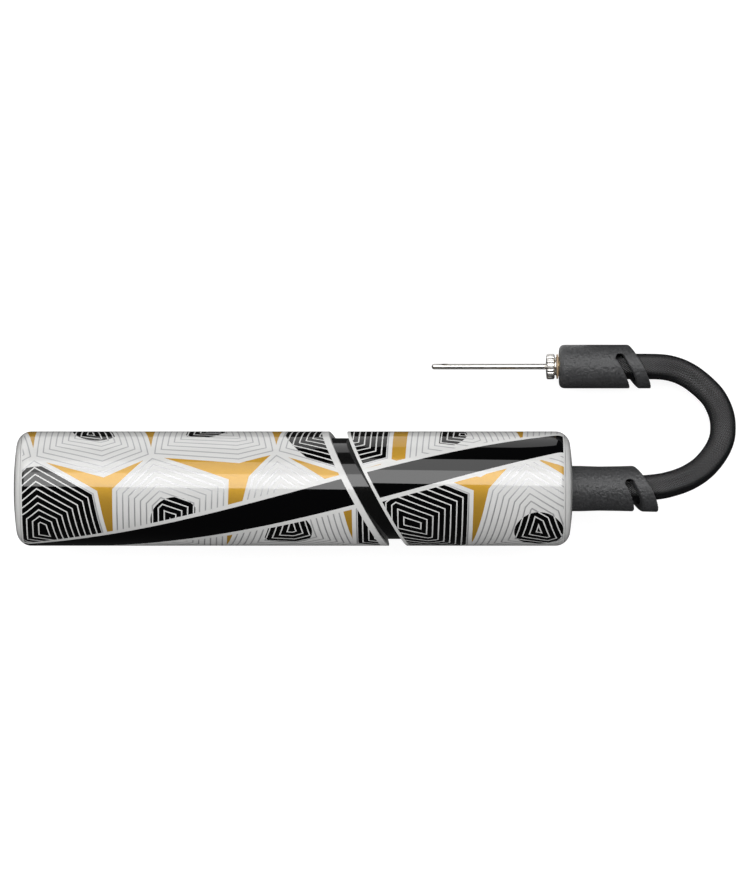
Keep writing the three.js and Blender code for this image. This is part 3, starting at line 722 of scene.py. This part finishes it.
class PUMP_OT_stage(bpy.types.Operator):
    """Sets the camera over the pump, with a plain floor and soft light"""

    bl_idname = "pump.stage"
    bl_label = "Stage"

    def execute(self, context):
        stage = context.scene.pump_stage
        self.camera(context, stage)
        self.floor(stage)
        self.lights(stage)
        context.scene.view_settings.view_transform = "Standard"
        return {"FINISHED"}

    def camera(self, context, stage):
        x, y = stage.view_middle
        bpy.ops.object.camera_add(location=(x, y, PUMP_AXIS.z + stage.camera_height), rotation=(0, 0, 0))
        camera = context.object
        camera.name = "camera"
        camera.data.sensor_fit = "HORIZONTAL"
        camera.data.lens = camera.data.sensor_width * stage.camera_height / stage.view_width
        camera.data.clip_end = 50
        context.scene.camera = camera

    def floor(self, stage):
        floor = started("floor", bpy.ops.mesh.primitive_plane_add, size=30)
        recipe = Recipe("floor", roughness=0.7, emission_strength=0.98)
        shade = recipe.noise(0.4)
        tint = list(stage.floor)
        low, high = [0.27 * c for c in tint], [0.28 * c for c in tint]
        recipe.feed(base_color=recipe.mixed(shade, low, high))
        recipe.feed(emission_color=tint)
        floor.data.materials.append(recipe.material)
        floor.visible_glossy = False
        floor.visible_diffuse = False

        ball = bpy.ops.mesh.primitive_uv_sphere_add
        backdrop = started("backdrop", ball, segments=48, ring_count=24, radius=14)
        with editing(backdrop):
            bpy.ops.mesh.flip_normals()
        paper = Recipe("backdrop", roughness=1, emission_strength=0.95)
        paper.feed(base_color=(0, 0, 0), emission_color=tint)
        backdrop.data.materials.append(paper.material)
        backdrop.visible_glossy = False
        backdrop.visible_diffuse = False
        backdrop.visible_shadow = False

    def lights(self, stage):
        """A long soft light over the needle's side of the pump, the strips that are its reflection, a card
        low down on the same side that the case's edge reflects, and fill that leaves no reflection."""
        world = bpy.data.worlds.new("studio")
        bpy.context.scene.world = world
        world.use_nodes = True
        world.node_tree.nodes["Background"].inputs["Color"].default_value = (1, 1, 1, 1)
        world.node_tree.nodes["Background"].inputs["Strength"].default_value = 0.03
        key = self.area("key", 58, 0.8, stage.key_power)
        key.visible_glossy = False
        for name, end, share in (("strip", 58, 1.5), ("inner_strip", 33, 0.8)):
            strip = self.area(name, end, 0.75, share * stage.key_power)
            strip.visible_diffuse = False
        place = (-0.9, 1.048, 0.002)
        card = settled(started("card", bpy.ops.mesh.primitive_plane_add, size=2, location=place))
        glow = Recipe("card", roughness=1, emission_strength=1.1)
        glow.feed(base_color=(0, 0, 0), emission_color=(1, 1, 1))
        card.data.materials.append(glow.material)
        card.visible_camera = card.visible_diffuse = card.visible_shadow = False
        sides = {"left": (180, 25, 3.6), "right": (0, 25, 2.6), "front": (-90, 22, 1.75), "back": (90, 15, 2)}
        for name, (azimuth, height, share) in sides.items():
            self.fill_light(f"fill_{name}", azimuth, height, share * stage.fill_power)

    def area(self, name, end, distance, power, start=5, span_x=1.6):
        """A soft box along the pump, seen from its axis between two angles from straight up towards +Y."""
        middle = math.radians((start + end) / 2)
        width = 2 * distance * math.tan(math.radians((end - start) / 2))
        place = PUMP_AXIS + distance * Vector((0, math.sin(middle), math.cos(middle)))
        bpy.ops.object.light_add(type="AREA", location=place, rotation=(-middle, 0, 0))
        light = bpy.context.object
        light.name = name
        light.visible_camera = False
        light.data.shape = "RECTANGLE"
        light.data.size = span_x
        light.data.size_y = width
        light.data.energy = power
        return light

    def fill_light(self, name, azimuth, height, power):
        angle, rise = math.radians(azimuth), math.radians(height)
        away = Vector((math.cos(angle) * math.cos(rise), math.sin(angle) * math.cos(rise), math.sin(rise)))
        turn = away.to_track_quat("Z", "Y").to_euler()
        bpy.ops.object.light_add(type="AREA", location=PUMP_AXIS + 1.6 * away, rotation=turn)
        light = bpy.context.object
        light.name = name
        light.data.size = 1.4
        light.data.energy = power
        light.visible_glossy = False
        light.visible_camera = False


# ---- Hose --------------------------------------------------------------------------------


def route_points(step):
    """Points along the hose's route about a step apart, on a smooth curve through its points."""
    knots = [Vector(point) * MM for point in HOSE_ROUTE]
    knots = [2 * knots[0] - knots[1], *knots, 2 * knots[-1] - knots[-2]]
    points = []
    for before, first, second, after in zip(knots, knots[1:], knots[2:], knots[3:]):
        pieces = max(1, round((second - first).length / step))
        for i in range(pieces):
            t = i / pieces
            swing = (second - before) * t + (2 * before - 5 * first + 4 * second - after) * t**2
            swing += (3 * first - before - 3 * second + after) * t**3
            points.append(first + swing / 2)
    return [*points, knots[-2]]


def tube(name, points, r, sides):
    """A mesh tube along points. Its UV map "lay" holds the turn round it and the metres along it."""
    directions = [(b - a).normalized() for a, b in zip(points, points[1:])]
    directions.append(directions[-1])
    across = directions[0].orthogonal().normalized()
    vertices = []
    for point, direction in zip(points, directions):
        across = (across - direction * across.dot(direction)).normalized()
        other = direction.cross(across)
        for i in range(sides):
            turn = math.tau * i / sides
            vertices.append(point + r * (across * math.cos(turn) + other * math.sin(turn)))
    faces = []
    for ring in range(len(points) - 1):
        for i in range(sides):
            j = (i + 1) % sides
            faces.append((ring * sides + i, ring * sides + j, (ring + 1) * sides + j, (ring + 1) * sides + i))
    faces.append(tuple(reversed(range(sides))))
    faces.append(tuple(range(len(vertices) - sides, len(vertices))))
    mesh = bpy.data.meshes.new(name)
    mesh.from_pydata(vertices, [], faces)
    runs = [0]
    for a, b in zip(points, points[1:]):
        runs.append(runs[-1] + (b - a).length)
    layer = mesh.uv_layers.new(name="lay")
    for face in mesh.polygons[:-2]:
        wraps = face.vertices[1] % sides == 0
        for loop, vertex in zip(face.loop_indices, face.vertices):
            turn = (vertex % sides) / sides
            if wraps and vertex % sides == 0:
                turn = 1
            layer.data[loop].uv = (turn, runs[vertex // sides])
    obj = bpy.data.objects.new(name, mesh)
    bpy.context.collection.objects.link(obj)
    return smoothed(obj)


class PUMP_OT_hose(bpy.types.Operator):
    """Makes the braided hose along its route"""

    bl_idname = "pump.hose"
    bl_label = "Hose"

    def execute(self, context):
        hose = context.scene.pump_hose
        points = route_points(0.9 * MM)
        made = tube("braided_hose", points, hose.diameter / 2, 48)
        piece(made, "hose_line", "braid", braided(), "hose")
        run = sum((b - a).length for a, b in zip(points, points[1:]))
        nodes = frame["nodes"]
        carried = [bpy.data.objects[name] for name in ("upper_boot", "needle_shaft", "needle_collar")]
        carried += [nodes[name] for name in ("needle_socket", "needle_washer", "upper_ferrule")]
        [tuple(point) for point in points[::3]] + [tuple(points[-1])]
        return {"FINISHED"}


# ---- Cuffs -------------------------------------------------------------------------------


class PUMP_OT_cuffs(bpy.types.Operator):
    """Makes the two soft cuffs that hold the hose's ends, each with a slanting end and a slot"""

    bl_idname = "pump.cuffs"
    bl_label = "Cuffs"

    def execute(self, context):
        hose_r = context.scene.pump_hose.diameter / 2
        rubber = cuff_rubber()
        lower_left, lower_right = span("lower_cuff")
        r = 7.75 * MM
        flange = 9.8 * MM
        lower = closed(
            [
                (lower_left, 6 * MM),
                (lower_left, flange),
                (lower_left + 2.7 * MM, flange),
                (lower_left + 2.7 * MM, r),
                (CASE_RIGHT + 3 * MM, r),
                (CASE_RIGHT + 9 * MM, 7.55 * MM),
                (CASE_RIGHT + 16 * MM, 7.65 * MM),
                (lower_right + 4 * MM, 8.1 * MM),
                (lower_right + 4 * MM, hose_r + 1.1 * MM),
                (CASE_RIGHT + 13 * MM, hose_r + 0.3 * MM),
                (lower_left + 5 * MM, hose_r + 0.3 * MM),
                (lower_left + 5 * MM, 6 * MM),
            ]
        )
        made = self.cuff(context, "lower_boot", lower, PUMP_AXIS, (24.8, LOWER_LEAN), (17.6, 1.7, 0.5))
        piece(made, "hose_line", "cuff_rubber", rubber, "lower_cuff")

        upper_left, upper_right = span("upper_cuff")
        r = radius("upper_cuff")
        corner = 1.8 * MM
        upper = closed(
            [
                (upper_left, 5 * MM),
                *arc(upper_left + corner, r - corner, corner, 180, 90),
                (upper_right + 4 * MM, r),
                (upper_right + 4 * MM, hose_r + 1.1 * MM),
                (upper_left + 22 * MM, hose_r + 0.3 * MM),
                (upper_left + 11 * MM, 5 * MM),
            ]
        )
        made = self.cuff(context, "upper_boot", upper, NEEDLE_AXIS, (23.4, UPPER_LEAN), (15.7, 2.8, 0.58))
        piece(made, "hose_line", "cuff_rubber", rubber, "upper_cuff")
        return {"FINISHED"}

    def cuff(self, context, name, outline, axis, end, slot):
        """Spins a cuff, slants its end and cuts its slot. end is (x from the case's end, lean), and slot is
        (x from the case's end, y from the axis, slope), with x and y in millimetres."""
        obj = spun(name, outline, axis, steps=96)
        end_x, lean = end
        with editing(obj):
            bpy.ops.mesh.bisect(
                plane_co=(CASE_RIGHT + end_x * MM, axis.y, axis.z),
                plane_no=lean.normalized(),
                use_fill=True,
                clear_outer=True,
            )
        x, y, slope = slot
        top = Vector((CASE_RIGHT + x * MM, axis.y + y * MM, axis.z))
        carved(obj, self.slot(top, slope, lean, context.scene.pump_cuff.slot_width / 2))
        modified(obj, "REMESH", mode="VOXEL", voxel_size=0.22 * MM)
        modified(obj, "SMOOTH", factor=0.5, iterations=8)
        return smoothed(obj, 180)

    def slot(self, top, slope, lean, r):
        """A cutter for a slot with a round end at top. It runs towards -Y with a slope, and leans as the
        cuff's end does."""
        reach, run = 12 * MM, 20 * MM
        shift = lean.z / lean.x * reach
        cutter = started(
            "slot", bpy.ops.mesh.primitive_cylinder_add, vertices=40, radius=r, depth=2 * reach, location=top
        )
        with editing(cutter, lambda place: place.y < -1e-6):
            bpy.ops.transform.translate(value=(run * slope, -run, 0))
        with editing(cutter, lambda place: place.z > 0):
            bpy.ops.transform.translate(value=(-shift, 0, 0))
        with editing(cutter, lambda place: place.z < 0):
            bpy.ops.transform.translate(value=(shift, 0, 0))
        return settled(cutter)


# ---- Case --------------------------------------------------------------------------------


def mirrored(outline):
    """The outline for the case's other end."""
    return [(-x, r) for x, r in outline]


class PUMP_OT_case(bpy.types.Operator):
    """Makes the case's two printed sleeves and its two end caps"""

    bl_idname = "pump.case"
    bl_label = "Case"

    def execute(self, context):
        inner = CASE_R - CASE_WALL
        round_r = CASE_R - END_ROUNDING
        dome_x = CASE_RIGHT - math.sqrt(DOME_R**2 - CUFF_HOLE_R**2)
        round_x = dome_x + math.sqrt((DOME_R - END_ROUNDING) ** 2 - round_r**2)
        rim_x = CASE_RIGHT - CAP_RIM
        rim = math.degrees(math.acos((rim_x - round_x) / END_ROUNDING))
        seam = math.degrees(math.acos((rim_x - 0.12 * MM - round_x) / END_ROUNDING))
        dome_rim = math.degrees(math.asin(round_r / (DOME_R - END_ROUNDING)))
        shoulder = arc(round_x, round_r, END_ROUNDING, 90, seam)

        def sleeve(start):
            """A sleeve's outline, from past its parting to its shoulder."""
            return closed([(start, inner), (start, CASE_R), *shoulder, (shoulder[-1][0], inner)])

        head = spun("head_sleeve", sleeve(-30 * MM), PUMP_AXIS, CASE_STEPS)
        head = self.parted(head, HEAD_PARTING, keep_right=True)
        handle = spun("handle_sleeve", mirrored(sleeve(-60 * MM)), PUMP_AXIS, CASE_STEPS)
        handle = self.parted(handle, HANDLE_PARTING)
        head_end, handle_end = CASE_RIGHT / MM, CASE_LEFT / MM

        def head_border(x, y, z):
            return x + y * LEAN.y + z * LEAN.z < HEAD_PARTING + 1.2 * MM

        def handle_border(x, y, z):
            return x + y * LEAN.y + z * LEAN.z > HANDLE_PARTING - 2.3 * MM

        printed_head = printed("printed_head", 12, head_end, head_border)
        printed_handle = printed("printed_handle", handle_end, 36, handle_border)
        piece(head, "head", "lacquer", printed_head, "head_shell")
        piece(handle, "handle", "lacquer", printed_handle, "handle_shell")

        white = plain_white()
        plug = inner - JOINT_GAP
        cap_face = arc(round_x, round_r, END_ROUNDING, rim, dome_rim)
        lip = 0.4 * MM  # rounding of the dome's inner edge
        dome_edge = math.degrees(math.asin((CUFF_HOLE_R + lip) / DOME_R))
        cap_face += arc(dome_x, 0, DOME_R, dome_rim, dome_edge)[1:]
        deep = CASE_RIGHT - 9 * MM
        head_cap = closed(
            [
                (deep + MM, CUFF_HOLE_R),
                (deep + MM, 10.5 * MM),
                (CASE_RIGHT - 2 * MM, 10.5 * MM),
                (CASE_RIGHT - 2 * MM, plug - 2 * MM),
                (deep, plug - 2 * MM),
                (deep, plug),
                (CASE_RIGHT - CAP_RIM, plug),
                *cap_face,
                *arc(CASE_RIGHT - lip, CUFF_HOLE_R + lip, lip, -20, -90, 4),
            ]
        )
        made = smoothed(spun("head_cap", head_cap, PUMP_AXIS, CASE_STEPS))
        piece(made, "head", "lacquer", white, "head_end_cap")
        handle_cap = [
            (deep + 1.9 * MM, 0),
            (deep + 1.9 * MM, 7 * MM),
            (CASE_RIGHT - 2 * MM, 7 * MM),
            (CASE_RIGHT - 2 * MM, plug - 2 * MM),
            (deep, plug - 2 * MM),
            (deep, plug),
            (CASE_RIGHT - CAP_RIM, plug),
            *cap_face,
            (CASE_RIGHT, CUFF_HOLE_R - lip),
            (CASE_RIGHT, 0),
        ]
        made = spun("handle_cap", mirrored(handle_cap), PUMP_AXIS, CASE_STEPS)
        low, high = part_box("piston_rod")
        socket = started(
            "socket",
            bpy.ops.mesh.primitive_cylinder_add,
            vertices=6,
            radius=(high.z - low.z) / 2 + JOINT_GAP,
            depth=8 * MM,
            location=(low.x + 4 * MM, PUMP_AXIS.y, PUMP_AXIS.z),
            rotation=(0, math.pi / 2, 0),
        )
        low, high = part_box("rod_pin")
        pin_hole = started(
            "pin_hole",
            bpy.ops.mesh.primitive_cylinder_add,
            vertices=32,
            radius=(high.x - low.x) / 2 + JOINT_GAP,
            depth=high.z - low.z + 2 * MM,
            location=(low + high) / 2,
        )
        smoothed(carved(made, socket, pin_hole))
        piece(made, "handle", "lacquer", white, "handle_end_cap")
        return {"FINISHED"}

    def parted(self, obj, at, keep_right=False):
        """Cuts a sleeve along the slanting parting and rounds its lips."""
        normal = LEAN.normalized()
        with editing(obj):
            bpy.ops.mesh.bisect(
                plane_co=PUMP_AXIS + Vector((at, 0, 0)),
                plane_no=normal,
                use_fill=True,
                clear_inner=keep_right,
                clear_outer=not keep_right,
            )
        rounded(obj, 0.18 * MM, 3)
        return smoothed(obj)


class PUMP_OT_barrel(bpy.types.Operator):
    """Makes the gloss black barrel that the handle slides over"""

    bl_idname = "pump.barrel"
    bl_label = "Barrel"

    def execute(self, context):
        left, right = span("barrel")
        outer = radius("barrel")
        inner = outer - BARREL_WALL
        outline = closed([(left, inner), (left, outer), (right, outer), (right, inner)])
        made = spun("barrel_tube", outline, PUMP_AXIS, CASE_STEPS)
        rounded(made, 0.25 * MM, 3, 30)
        piece(smoothed(made), "head", "black_gloss", gloss_black(), "barrel")
        return {"FINISHED"}


# ---- Needle ------------------------------------------------------------------------------


class PUMP_OT_needle(bpy.types.Operator):
    """Makes the inflation needle and its knurled hub"""

    bl_idname = "pump.needle"
    bl_label = "Needle"

    def execute(self, context):
        tint = (0.74, 0.72, 0.69)
        piece(self.shaft(), "needle", "nickel", drawn("drawn_nickel", tint, 0.24), "needle_tube")
        piece(self.hub(), "needle", "nickel", turned("turned_nickel", tint, 0.28), "needle_hub")
        return {"FINISHED"}

    def shaft(self):
        left, right = span("needle_tube")
        r = radius("needle_tube")
        bore = 0.6 * MM
        outline = [
            (left, 0),
            *arc(left + r, 0, r, 180, 90)[1:],
            (right, r),
            (right, bore),
            (left + 1.5 * MM, bore),
            (left + 1.5 * MM, 0),
        ]
        shaft = spun("needle_shaft", outline, NEEDLE_AXIS, 48)
        place = NEEDLE_AXIS + Vector((left + 4.7 * MM, 0.7 * MM, 0.7 * MM))
        hole = started(
            "side_hole",
            bpy.ops.mesh.primitive_cylinder_add,
            vertices=32,
            radius=0.5 * MM,
            depth=1.4 * MM,
            location=place,
            rotation=(-math.pi / 4, 0, 0),
            scale=(2.5, 1, 1),
        )
        carved(shaft, settled(hole))
        rounded(shaft, 0.06 * MM, 2)
        return smoothed(shaft)

    def hub(self):
        """The knurled ring and its screw thread, as one turned part."""
        left, right = span("needle_hub")
        r = radius("needle_hub")
        ring_right = left + 2.9 * MM
        thread_r = 3.45 * MM
        bore = 1.3 * MM
        pitch = 0.794 * MM
        outline = [
            (left, bore),
            (left, 2.4 * MM),
            (left + 0.15 * MM, r - 0.35 * MM),
            (left + 0.5 * MM, r),
            (ring_right - 0.4 * MM, r),
            (ring_right, r - 0.4 * MM),
            (ring_right, thread_r - 0.5 * MM),
        ]
        x = ring_right + 0.3 * MM
        while x + pitch < right - 0.4 * MM:
            outline += [(x, thread_r - 0.5 * MM), (x + pitch * 0.45, thread_r)]
            x += pitch
        outline += [(x, thread_r - 0.5 * MM), (right, thread_r - 0.8 * MM), (right, bore)]
        hub = spun("needle_collar", closed(outline), NEEDLE_AXIS, HUB_STEPS)
        self.knurl(hub, left + 0.5 * MM, ring_right - 0.3 * MM, r)
        return smoothed(hub, 40)

    def knurl(self, hub, left, right, r):
        """Presses straight grooves into the ring's rim."""

        def in_groove(place):
            x, y, z = place - NEEDLE_AXIS
            step = round(math.atan2(z, y) / math.tau * HUB_STEPS)
            return left < x < right and math.hypot(y, z) > r - 0.1 * MM and step % 4 == 0

        with editing(hub, in_groove):
            bpy.ops.transform.resize(value=(1, 0.93, 0.93), center_override=NEEDLE_AXIS)


# ---- Inside ------------------------------------------------------------------------------


class PUMP_OT_inside(bpy.types.Operator):
    """Gives the working parts inside their finishes"""

    bl_idname = "pump.inside"
    bl_label = "Working Parts"

    def execute(self, context):
        steel = turned("ground_steel", (0.56, 0.56, 0.55), 0.25)
        brass = turned("turned_brass", (0.78, 0.55, 0.22), 0.24)
        nylon = moulded("grey_nylon", (0.05, 0.053, 0.056), 0.5)
        acetal = moulded("white_acetal", (0.78, 0.77, 0.72), 0.35, mottle=0.03)
        seal = moulded("seal_rubber", (0.012, 0.012, 0.012), 0.38, mottle=0.2)
        finishes = {
            drawn("rod_aluminium", (0.6, 0.61, 0.62), 0.3): ["piston_rod"],
            turned("black_anodised", (0.02, 0.02, 0.022), 0.4): ["lower_ferrule", "upper_ferrule"],
            steel: ["rod_pin", "piston_screw", "valve_ball", "valve_spring"],
            brass: ["spring_retainer", "swivel_nut", "swivel_fitting", "needle_socket"],
            nylon: ["barrel_gland", "head_block"],
            acetal: ["piston", "guide_ring"],
            seal: ["stroke_bumper", "piston_seal", "head_o_ring", "valve_seat", "swivel_o_ring"],
            moulded("washer_fibre", (0.5, 0.36, 0.22), 0.5, mottle=0.15): ["needle_washer"],
        }
        for material, nodes in finishes.items():
            for node in nodes:
                for slot in frame["nodes"][node].material_slots:
                    slot.material = material
        return {"FINISHED"}


# ---- Add-on ------------------------------------------------------------------------------

MAKERS = (
    PUMP_OT_stage,
    PUMP_OT_cuffs,
    PUMP_OT_needle,
    PUMP_OT_hose,
    PUMP_OT_case,
    PUMP_OT_barrel,
    PUMP_OT_inside,
)


class PUMP_PT_panel(bpy.types.Panel):
    """Lists the pump's makers and settings"""

    bl_idname = "PUMP_PT_panel"
    bl_label = "Ball Pump"
    bl_space_type = "VIEW_3D"
    bl_region_type = "UI"
    bl_category = "Ball Pump"

    def draw(self, context):
        for maker in MAKERS:
            self.layout.operator(maker.bl_idname)
        for name in SETTINGS:
            group = getattr(context.scene, name)
            box = self.layout.box()
            for key in group.bl_rna.properties.keys():
                if key not in ("rna_type", "name"):
                    box.prop(group, key)


SETTINGS = {
    "pump_stage": PumpStageSettings,
    "pump_print": PumpPrintSettings,
    "pump_hose": PumpHoseSettings,
    "pump_cuff": PumpCuffSettings,
}
CLASSES = (*SETTINGS.values(), *MAKERS, PUMP_PT_panel)


def register():
    for cls in CLASSES:
        bpy.utils.register_class(cls)
    for name, group in SETTINGS.items():
        setattr(bpy.types.Scene, name, bpy.props.PointerProperty(type=group))


def unregister():
    for name in SETTINGS:
        delattr(bpy.types.Scene, name)
    for cls in reversed(CLASSES):
        bpy.utils.unregister_class(cls)


def main():
    """Makes the whole pump."""
    register()
    for maker in MAKERS:
        group, name = maker.bl_idname.split(".")
        getattr(getattr(bpy.ops, group), name)()


if __name__ == "__main__":
    main()
